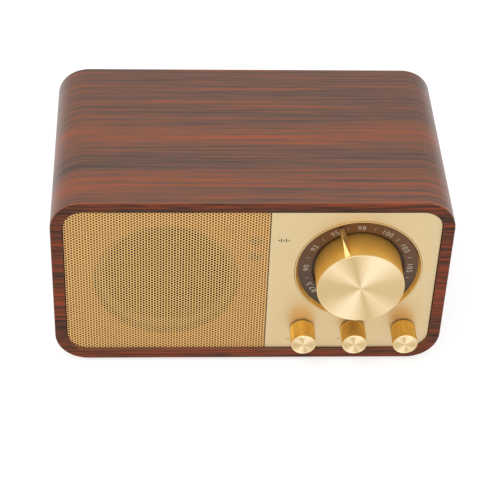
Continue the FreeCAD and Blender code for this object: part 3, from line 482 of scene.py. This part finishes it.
def punched_cell():
    """One hexagon of the sheet, with an eight-sided hole in it."""
    across = hole_pitch / math.sqrt(3)
    bpy.ops.mesh.primitive_circle_add(
        vertices=6, radius=across, fill_type="NOTHING", location=(0, 0, 0)
    )
    cell = bpy.context.object
    bpy.ops.object.mode_set(mode="EDIT")
    bpy.ops.transform.rotate(value=math.radians(30), orient_axis="Z", center_override=(0, 0, 0))
    bpy.ops.mesh.select_all(action="DESELECT")
    bpy.ops.mesh.primitive_circle_add(
        vertices=8, radius=hole_radius, fill_type="NOTHING", location=(0, 0, 0)
    )
    bpy.ops.mesh.select_all(action="SELECT")
    bpy.ops.mesh.bridge_edge_loops()
    bpy.ops.mesh.quads_convert_to_tris()
    bpy.ops.mesh.select_all(action="SELECT")
    bpy.ops.transform.rotate(value=math.radians(90), orient_axis="X", center_override=(0, 0, 0))
    bpy.ops.object.mode_set(mode="OBJECT")
    return cell


def trim_to_outline(sheet):
    """Cuts the sheet to its rectangle, and round its two left corners."""
    cuts = [((grille_high.x, 0, 0), (1, 0, 0)), ((grille_low.x, 0, 0), (-1, 0, 0))]
    cuts += [((0, 0, grille_high.z), (0, 0, 1)), ((0, 0, grille_low.z), (0, 0, -1))]
    for side, level in ((1, grille_high.z - corner_radius), (-1, grille_low.z + corner_radius)):
        middle = Vector((grille_low.x + corner_radius, 0, level))
        for step in range(1, 9):
            angle = math.radians(10 * step)
            outward = Vector((-math.cos(angle), 0, side * math.sin(angle)))
            cuts.append((middle + outward * corner_radius, outward))
    bpy.ops.object.mode_set(mode="EDIT")
    for place, outward in cuts:
        bpy.ops.mesh.select_all(action="SELECT")
        bpy.ops.mesh.bisect(plane_co=place, plane_no=outward, clear_outer=True, threshold=1e-7)
    bpy.ops.mesh.select_all(action="SELECT")
    bpy.ops.mesh.remove_doubles(threshold=2e-6)
    bpy.ops.object.mode_set(mode="OBJECT")


def grille_sheet():
    """One cell beside its half-raised neighbour, repeated along the row and upwards."""
    size = grille_high - grille_low
    columns = math.ceil(size.x / column_pitch / 2) + 1
    rows = math.ceil(size.z / hole_pitch) + 1
    sheet = punched_cell()
    sheet.name = "grille_sheet"
    only_selected(sheet)
    for count, step in (
        (2, (column_pitch, 0, hole_pitch / 2)),
        (columns, (2 * column_pitch, 0, 0)),
        (rows, (0, 0, hole_pitch)),
    ):
        apply_modifier(
            sheet,
            "ARRAY",
            count=count,
            use_relative_offset=False,
            use_constant_offset=True,
            constant_offset_displace=step,
            use_merge_vertices=True,
            merge_threshold=1e-5,
        )
    overhang = Vector((column_pitch / 2, 0, hole_pitch * 0.6))
    sheet.location = grille_low - overhang
    set_origin_home(sheet)
    trim_to_outline(sheet)
    apply_modifier(sheet, "SOLIDIFY", thickness=sheet_thickness, offset=-1.0)
    return sheet


def satin_gold(name, colour, roughness, grain, depth):
    """Anodised metal with fine brushing that runs along the axis of the lowest grain."""
    gold = Finish(name, colour, roughness, Metallic=0.85)
    brushing = gold.noise(grain, 3.0)
    cloud = gold.noise((0.03, 0.03, 0.03), 2.0)
    darker, lighter = shaded(colour, 0.86), shaded(colour, 1.06)
    gold.feed("Base Color", gold.mix(brushing * 0.7 + cloud * 0.3, darker, lighter))
    gold.feed("Roughness", roughness + (brushing - 0.5) * 0.2)
    gold.relief(brushing, depth)
    return gold


grille_gold = satin_gold("grille_gold", tint(229, 187, 119), 0.38, (2.0, 2.0, 2.0), 0.004)
fit(grille_sheet(), grille_gold, "root", "gold_mesh", "grille")


# Control panel. A sheet of champagne anodised aluminium, brushed from side to side, with
# its front edges eased so that they catch the light.
def pick_faces(piece, wanted):
    """Selects the faces whose centre and normal pass a test, in edit mode."""
    bpy.ops.mesh.select_all(action="DESELECT")
    bpy.ops.object.mode_set(mode="OBJECT")
    for face in piece.data.polygons:
        face.select = wanted(piece.matrix_world @ face.center, face.normal)
    bpy.ops.object.mode_set(mode="EDIT")
    bpy.ops.mesh.select_mode(type="FACE")


def pick_edges(piece, wanted):
    """Selects the edges whose two ends both pass a test, in edit mode."""
    bpy.ops.mesh.select_mode(type="VERT")
    bpy.ops.mesh.select_all(action="DESELECT")
    bpy.ops.object.mode_set(mode="OBJECT")
    for vertex in piece.data.vertices:
        vertex.select = wanted(vertex.co)
    bpy.ops.object.mode_set(mode="EDIT")
    bpy.ops.mesh.select_mode(type="EDGE")


def refill_flats(piece):
    """Gives a sheet a clean front and back face, without slivers between the edges."""
    levels = [corner[1] for corner in piece.bound_box]
    bpy.ops.mesh.customdata_custom_splitnormals_clear()
    bpy.ops.object.mode_set(mode="EDIT")
    for level in (min(levels), max(levels)):
        pick_faces(
            piece,
            lambda centre, normal: abs(normal.y) > 0.99 and abs(centre.y - level) < 1e-6,
        )
        bpy.ops.mesh.delete(type="FACE")
        bpy.ops.mesh.select_mode(type="EDGE")
        bpy.ops.mesh.select_all(action="DESELECT")
        bpy.ops.mesh.select_non_manifold()
        bpy.ops.mesh.fill()
    bpy.ops.mesh.select_all(action="SELECT")
    bpy.ops.mesh.normals_make_consistent(inside=False)
    bpy.ops.object.mode_set(mode="OBJECT")
    bpy.ops.object.shade_smooth_by_angle(angle=math.radians(15))
    return piece


def widened(piece, extra):
    """Moves the outer edges of a sheet outwards, and leaves the holes in it as they are."""
    low, high = Vector(piece.bound_box[0]), Vector(piece.bound_box[6])
    middle, half = (low + high) / 2, (high - low) / 2
    margin = 0.0025

    def near_outline(place):
        to_side = half.x - abs(place.x - middle.x)
        to_top_or_bottom = half.z - abs(place.z - middle.z)
        return min(to_side, to_top_or_bottom) < margin

    only_selected(piece)
    bpy.ops.object.mode_set(mode="EDIT")
    pick_edges(piece, near_outline)
    growth = (1 + extra / half.x, 1, 1 + extra / half.z)
    bpy.ops.transform.resize(value=growth, center_override=middle)
    bpy.ops.object.mode_set(mode="OBJECT")
    return piece


panel_gold = satin_gold("panel_gold", tint(211, 189, 147), 0.40, (0.03, 3.0, 3.5), 0.008)
panel_sheet = eased_copy("control_panel", "panel_sheet", 0.00018)
fit(
    widened(refill_flats(panel_sheet), 0.0002),
    panel_gold,
    "root",
    "gold_panel",
    "control_panel",
)


# Dial. A dark printed plate sunk in the panel inside a turned gold bezel, with pale
# frequency numbers whose tops point outwards and a short tick midway between them.
dial_x, dial_z = 41.0, 47.9
dial_centre = (dial_x, 0, dial_z)
plate_face = -0.0355
print_thickness = 0.00003
first_number, number_step = -120, 30
number_radius, tick_radius = 0.0199, 0.0201
figure_height, type_size_per_height = 0.00225, 1.34
tick_width, tick_length = 0.00018, 0.0014


def dial_print():
    """Brown print with a fine grain, greyer at the foot of the dial; painted light makes it warmer and
    lighter towards its top.
    """
    ink = Finish(
        "dial_print",
        tint(74, 54, 42),
        0.45,
        Specular_IOR_Level=0.3,
        Coat_Weight=0.08,
        Coat_Roughness=0.3,
    )
    grain = ink.noise((0.4, 0.4, 6.0), 3.0)
    # Painted light: the print turns warmer and lighter towards the top of the dial.
    painted_top_light = ink.axis("Z", (0, 0, dial_z)).between(-16.0, 20.0)
    shade = ink.mix(painted_top_light, tint(68, 55, 42), tint(104, 67, 38))
    ink.feed("Base Color", ink.mix(grain * 0.3, shade, tint(46, 33, 24)))
    ink.relief(grain, 0.01)
    return ink


def bezel_gold():
    """Satin metal: champagne on the flat land, gold down the cone, and browner where the
    cone looks down, which is painted shade."""
    gold = Finish("bezel_gold", tint(246, 212, 130), 0.45, Metallic=0.9)
    normal = gold.node("SeparateXYZ", {}, {0: gold.node("NewGeometry", {}, {}).outputs["Normal"]})
    on_land = (Value(gold, normal.outputs["Y"]) * -1).between(0.90, 0.97)
    undercut_painted_shade = (Value(gold, normal.outputs["Z"]) * -1).between(0.0, 0.4)
    cloud = gold.noise((1.0, 1.0, 1.0))
    # Painted shade: the cone turns brown where it faces downwards.
    cone = gold.mix(undercut_painted_shade, tint(246, 212, 126), tint(150, 112, 70))
    gold.feed("Base Color", gold.mix(on_land, cone, tint(208, 182, 134)))
    gold.feed("Roughness", 0.4 + cloud * 0.1)
    gold.relief(cloud, 0.002)
    return gold


dress(dial_print(), "dial_plate")
dial_bezel_ring = eased_copy("dial_bezel", "dial_bezel_ring", 0.00008)
fit(dial_bezel_ring, bezel_gold(), "root", "gold_metal", "dial_bezel")
pale_ink = clouded("pale_ink", tint(176, 166, 152), 0.6, 4.0, 0.004, 0.9)


def join_all(pieces, name):
    """Makes one piece of many that ride together."""
    bpy.ops.object.select_all(action="DESELECT")
    for piece in pieces:
        piece.select_set(True)
    bpy.context.view_layer.objects.active = pieces[0]
    bpy.ops.object.join()
    joined = bpy.context.object
    joined.name = name
    set_origin_home(joined)
    return joined


def on_dial(radius, turn):
    """The X and Z of a place round the dial's centre, clockwise from the top."""
    return dial_x / 1000 + radius * math.sin(turn), dial_z / 1000 + radius * math.cos(turn)


def printed_number(words, angle):
    """Raised print on the dial plate, with its top outwards."""
    turn = math.radians(angle)
    x, z = on_dial(number_radius, turn)
    bpy.ops.object.text_add(location=(0, 0, 0))
    text = bpy.context.object
    text.data.body = words
    text.data.align_x = "CENTER"
    text.data.align_y = "CENTER"
    text.data.size = figure_height * type_size_per_height
    text.data.space_character = 1.12
    text.data.offset = -0.00001
    text.data.extrude = print_thickness
    text.data.resolution_u = 3
    bpy.ops.object.convert(target="MESH")
    text = bpy.context.object
    text.rotation_euler = (math.radians(90), turn, 0)
    text.location = (x, plate_face, z)
    return text


numbers = []
for step, number in enumerate(("87.5", "90", "92", "95", "98", "100", "103", "105", "108")):
    numbers.append(printed_number(number, first_number + number_step * step))
fit(join_all(numbers, "dial_numbers"), pale_ink, "root", "dial_print")


def printed_bar(x, z, width, height, face, turn=0.0):
    """A thin bar of ink on a face that looks forwards; all in metres."""
    middle = (x, face - print_thickness / 2, z)
    bpy.ops.mesh.primitive_cube_add(size=1.0, location=middle, rotation=(0, turn, 0))
    bar = bpy.context.object
    bar.scale = (width, print_thickness, height)
    bpy.ops.object.transform_apply(location=False, rotation=False, scale=True)
    apply_modifier(bar, "BEVEL", width=print_thickness * 0.3, segments=1)
    return bar


ticks = []
for step in range(8):
    turn = math.radians(first_number + number_step * (step + 0.5))
    x, z = on_dial(tick_radius, turn)
    ticks.append(printed_bar(x, z, tick_width, tick_length, plate_face, turn))
fit(join_all(ticks, "dial_ticks"), pale_ink, "root", "dial_print")


# Panel marks. Black ink on the control panel: a small tuning symbol beside the dial, and
# a minus to the left and a plus to the right of each of the first two knobs.
panel_face = -0.037
knob_places = [(0.021, 0.0173), (0.041, 0.0173), (0.061, 0.0173)]
black_ink = clouded("black_ink", tint(34, 30, 28), 0.6, 4.0, 0.004, 0.9)
short_bar, tall_bar = 0.0008, 0.0017
symbol_left, symbol_level, bar_pitch, bar_width = 0.0098, 0.0631, 0.00095, 0.00042
sign_reach, sign_level, sign_length, sign_width = 0.0053, 0.0115, 0.0010, 0.00022

marks = []
for step, tall in enumerate((short_bar, tall_bar, short_bar, tall_bar, short_bar)):
    x = symbol_left + bar_pitch * step
    marks.append(printed_bar(x, symbol_level, bar_width, tall, panel_face))
for x, z in knob_places[:2]:
    for sign_x, width, height in (
        (x - sign_reach, sign_length, sign_width),
        (x + sign_reach, sign_length, sign_width),
        (x + sign_reach, sign_width, sign_length),
    ):
        marks.append(printed_bar(sign_x, sign_level, width, height, panel_face))
fit(join_all(marks, "panel_marks"), black_ink, "root", "dial_print")


# Tuning knob. A deep turned cup of gold anodised aluminium with a spun face and a narrow
# chamfer, both with painted highlights. It is hollow behind, where a moulded hub grips
# the spindle.
knob_low, knob_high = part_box("tuning_knob")
rim_width, face_thickness, chamfer_width = 0.0012, 0.0015, 0.00045
# Painted highlight on the spun face: how bright it is painted in each direction, clockwise
# from the top of the knob.
painted_sheen_round_the_clock = [
    0.55, 0.97, 1.00, 0.75, 0.45, 0.20, 0.12, 0.10, 0.35, 0.65, 0.45, 0.05, 0.55,
    0.95, 0.95, 0.60, 0.25, 0.10, 0.07, 0.13, 0.52, 0.80, 0.40, 0.00, 0.55,
]
face_roughness = 0.3


def spun_gold(name, side_colour, centre, side_roughness=0.5):
    """Turned metal. Its face has fine rings and painted highlights in wedges round its centre, and its
    chamfer is painted bright as a highlight.
    """
    gold = Finish(name, side_colour, side_roughness)
    normal = gold.node("SeparateXYZ", {}, {0: gold.node("NewGeometry", {}, {}).outputs["Normal"]})
    forwards = Value(gold, normal.outputs["Y"]) * -1
    on_face = forwards.between(0.90, 0.97)
    chamfer_painted_highlight = forwards.between(0.15, 0.35) * (1 - on_face)
    sideways = gold.axis("X", centre)
    turn = sideways.maths("ARCTAN2", sideways, gold.axis("Z", centre)) / (2 * math.pi)
    painted_fan = gold.ramp(turn.maths("FRACT", turn + 1), level_stops(painted_sheen_round_the_clock))
    rings = gold.node(
        "TexNoise",
        {"noise_dimensions": "1D"},
        {"W": gold.distance(centre) * 5.0, "Scale": 1.0, "Detail": 3.0},
    )
    ring = Value(gold, rings.outputs[0])
    painted_sheen = Value(gold, gold.node("SeparateColor", {}, {0: painted_fan}).outputs[0])
    # The face's colour follows the painted highlight in wedges, broken up by the rings.
    level = painted_sheen + (ring - 0.5) * 0.35
    face_colour = gold.mix(level, tint(196, 170, 121), tint(240, 219, 180))
    brushing = gold.noise((0.3, 6.0, 0.3), 2.0)
    side = gold.mix(brushing, shaded(side_colour, 0.84), side_colour)
    coloured = gold.mix(on_face, side, face_colour)
    # The chamfer is painted bright: a painted highlight.
    gold.feed("Base Color", gold.mix(chamfer_painted_highlight, coloured, tint(248, 228, 186)))
    gold.feed("Metallic", 0.7 + (on_face + chamfer_painted_highlight) * 0.3)
    fall = side_roughness - face_roughness
    gold.feed("Roughness", side_roughness - on_face * fall + (ring - 0.5) * 0.1)
    gold.relief(ring * on_face, 0.006)
    return gold


def turned_cup():
    """A cylinder hollowed from behind, with a chamfered front edge."""
    depth = knob_high.y - knob_low.y
    bpy.ops.mesh.primitive_cylinder_add(
        vertices=144,
        radius=(knob_high.x - knob_low.x) / 2,
        depth=depth,
        location=(knob_low + knob_high) / 2,
        rotation=(math.radians(90), 0, 0),
    )
    cup = bpy.context.object
    cup.name = "tuning_knob_cup"
    set_origin_home(cup)
    bpy.ops.object.mode_set(mode="EDIT")
    pick_faces(cup, lambda centre, normal: normal.y > 0.9)
    bpy.ops.mesh.inset(thickness=rim_width)
    bpy.ops.mesh.extrude_region_move(
        TRANSFORM_OT_translate={"value": (0, face_thickness - depth, 0)}
    )
    pick_faces(cup, lambda centre, normal: normal.y < -0.9)
    bpy.ops.mesh.inset(thickness=chamfer_width)
    bpy.ops.object.mode_set(mode="OBJECT")
    apply_modifier(
        cup,
        "BEVEL",
        width=0.00035,
        segments=2,
        limit_method="ANGLE",
        angle_limit=math.radians(40),
    )
    bpy.ops.object.shade_smooth_by_angle(angle=math.radians(30))
    return cup


fit(
    turned_cup(),
    spun_gold("knob_gold", tint(240, 188, 88), dial_centre),
    "tuning",
    "gold_metal",
    "tuning_knob",
)


# Small knobs. Three turned gold cylinders with coarse, slightly twisted knurling behind a
# smooth lip, and a spun face with one fine groove near its edge.
knob_teeth = 32
knob_twist = math.radians(-22)
knurl_root = 0.94
knurl_steps = 8
lip_width, lip_root, lip_chamfer = 0.0004, 0.0003, 0.00012
groove_depth = 0.00007


def knurled_knob(name, node):
    """Modelled with its face up, then laid over to look forwards."""
    low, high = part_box(node)
    centre = (low + high) / 2
    radius = (high.x - low.x) / 2
    length = high.y - low.y
    knurled = length - lip_width
    bpy.ops.mesh.primitive_circle_add(
        vertices=knob_teeth * 4, radius=radius, fill_type="NGON", location=(0, 0, 0)
    )
    knob = bpy.context.object
    knob.name = name
    bpy.ops.object.mode_set(mode="EDIT")
    bpy.ops.mesh.select_all(action="DESELECT")
    bpy.ops.object.mode_set(mode="OBJECT")
    for index, vertex in enumerate(knob.data.vertices):
        vertex.select = index % 4 in (0, 1)
    bpy.ops.object.mode_set(mode="EDIT")
    bpy.ops.mesh.select_mode(type="VERT")
    bpy.ops.transform.resize(value=(knurl_root, knurl_root, 1), center_override=(0, 0, 0))
    bpy.ops.mesh.select_mode(type="FACE")
    bpy.ops.mesh.select_all(action="SELECT")
    for step in range(knurl_steps):
        bpy.ops.mesh.extrude_region_move(
            TRANSFORM_OT_translate={"value": (0, 0, knurled / knurl_steps)}
        )
        bpy.ops.transform.rotate(
            value=knob_twist / knurl_steps, orient_axis="Z", center_override=(0, 0, 0)
        )
    bpy.ops.mesh.select_all(action="SELECT")
    bpy.ops.mesh.normals_make_consistent(inside=False)
    bpy.ops.mesh.select_all(action="DESELECT")
    bpy.ops.mesh.primitive_circle_add(
        vertices=72, radius=radius * 0.98, fill_type="NGON", location=(0, 0, knurled - lip_root)
    )
    bpy.ops.mesh.extrude_region_move(
        TRANSFORM_OT_translate={"value": (0, 0, lip_root + lip_width - lip_chamfer)}
    )
    for shrink, rise in (
        (0.98, lip_chamfer),
        (0.915, 0.0),
        (0.985, -groove_depth),
        (0.985, groove_depth),
    ):
        bpy.ops.mesh.extrude_region_move(TRANSFORM_OT_translate={"value": (0, 0, rise)})
        bpy.ops.transform.resize(value=(shrink, shrink, 1), center_override=(0, 0, 0))
    bpy.ops.mesh.select_linked()
    bpy.ops.mesh.normals_make_consistent(inside=False)
    bpy.ops.object.mode_set(mode="OBJECT")
    bpy.ops.object.shade_smooth_by_angle(angle=math.radians(30))
    knob.rotation_euler = (math.radians(90), 0, 0)
    knob.location = (centre.x, high.y, centre.z)
    set_origin_home(knob)
    return knob


# Their faces get the same painted highlights round the centre as the tuning knob's face.
for body, (x, z) in zip(("volume", "tone", "function"), knob_places):
    fit(
        knurled_knob(body + "_knob_turned", body + "_knob"),
        spun_gold(body + "_knob_gold", tint(240, 194, 92), (x * 1000, 0, z * 1000), 0.42),
        body,
        "gold_metal",
        body + "_knob",
    )


# Pointer. A bright gold fin on the tuning knob's side. It reaches out over the dial
# plate, and its outer edge goes from a flat triangle in front to a narrow ridge.
pointer_turn = math.radians(-21)
fin_front, fin_back = -0.04705, -0.0361
fin_root, fin_shoulder, fin_side, fin_ridge, fin_tip = 0.01655, 0.0172, 0.0192, 0.0205, 0.0224
fin_half_width = 0.0011
fin_waist = 0.62
apex_share = 0.42
tail_slope = 0.0008


def ridged_fin():
    """A bar that points up from the knob's axis, cut to shape and then turned into place."""
    length = fin_back - fin_front
    apex = fin_front + apex_share * length
    tail = fin_back - tail_slope
    bpy.ops.mesh.primitive_cube_add(
        size=1.0, location=(0, fin_front + length / 2, (fin_root + fin_tip) / 2)
    )
    fin = bpy.context.object
    fin.name = "pointer_fin"
    fin.scale = (2 * fin_half_width, length, fin_tip - fin_root)
    set_origin_home(fin)
    bpy.ops.object.mode_set(mode="EDIT")
    bpy.ops.mesh.select_all(action="SELECT")
    bpy.ops.mesh.bisect(plane_co=(0, 0, 0), plane_no=(1, 0, 0), threshold=1e-6)
    for station in (apex, tail):
        bpy.ops.mesh.select_all(action="SELECT")
        bpy.ops.mesh.bisect(plane_co=(0, station, 0), plane_no=(0, 1, 0), threshold=1e-6)
    at_top = fin_tip - 1e-6
    for near, far, width, level in (
        (fin_front, fin_front, 1.0, fin_shoulder),
        (apex, tail, fin_waist, fin_side),
        (fin_back, fin_back, fin_waist, fin_side),
    ):
        pick_edges(
            fin,
            lambda place: place.z > at_top
            and abs(place.x) > 1e-5
            and near - 1e-6 < place.y < far + 1e-6,
        )
        bpy.ops.transform.resize(value=(width, 1, 1), center_override=(0, 0, 0))
        bpy.ops.transform.translate(value=(0, 0, level - fin_tip))
    for station, level in (
        (fin_front, fin_shoulder),
        (apex, fin_ridge),
        (fin_back, fin_tip - tail_slope),
    ):
        pick_edges(fin, lambda place: place.z > at_top and abs(place.y - station) < 1e-6)
        bpy.ops.transform.translate(value=(0, 0, level - fin_tip))
    bpy.ops.mesh.select_mode(type="VERT")
    bpy.ops.mesh.select_all(action="SELECT")
    bpy.ops.mesh.convex_hull()
    bpy.ops.mesh.select_all(action="SELECT")
    bpy.ops.mesh.remove_doubles(threshold=1e-6)
    bpy.ops.mesh.normals_make_consistent(inside=False)
    bpy.ops.object.mode_set(mode="OBJECT")
    apply_modifier(
        fin,
        "BEVEL",
        width=0.00009,
        segments=2,
        limit_method="ANGLE",
        angle_limit=math.radians(8),
    )
    bpy.ops.object.shade_smooth_by_angle(angle=math.radians(8))
    fin.rotation_euler = (0, pointer_turn, 0)
    fin.location = (dial_x / 1000, 0, dial_z / 1000)
    set_origin_home(fin)
    return fin


fit(
    ridged_fin(),
    satin_gold("pointer_gold", tint(240, 202, 126), 0.32, (1.0, 1.0, 1.0), 0.002),
    "tuning",
    "gold_metal",
    "tuning_pointer",
)


# Feet. Four soft black rubber pads, glued under the corners of the cabinet, with their
# edges moulded round.
foot_rubber = clouded("foot_rubber", tint(30, 30, 31), 0.8, 3.0, 0.03)
fit(eased_copy("feet", "rubber_feet", 0.0003), foot_rubber, "root", "rubber", "feet")


# Rear screws. Blackened steel screws with countersunk heads and a cross recess, one in
# each corner of the rear panel, turned home to different angles.
screw_radius = 0.0023
recess_width, recess_span, recess_depth = 0.0006, 0.0028, 0.0008
screw_turn = 35


def cross_recessed(node, name):
    """The countersunk screws of a node whose heads look backwards, cut for a driver."""
    screws = eased_copy(node, name, 0.00006)
    low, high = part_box(node)
    left, right = low.x + screw_radius, high.x - screw_radius
    bottom, top = low.z + screw_radius, high.z - screw_radius
    for index, (x, z) in enumerate(((left, bottom), (left, top), (right, bottom), (right, top))):
        for quarter in (0, 90):
            turn = math.radians(screw_turn * index + quarter)
            bpy.ops.mesh.primitive_cube_add(size=1.0, location=(x, high.y, z), rotation=(0, turn, 0))
            cutter = bpy.context.object
            cutter.scale = (recess_span, 2 * recess_depth, recess_width)
            only_selected(screws)
            apply_modifier(
                screws, "BOOLEAN", object=cutter, operation="DIFFERENCE", solver="EXACT"
            )
            bpy.data.objects.remove(cutter)
    return screws


rear_screws_crossed = cross_recessed("rear_screws", "rear_screws_crossed")
fit(rear_screws_crossed, black_steel, "root", "black_steel", "rear_screws")
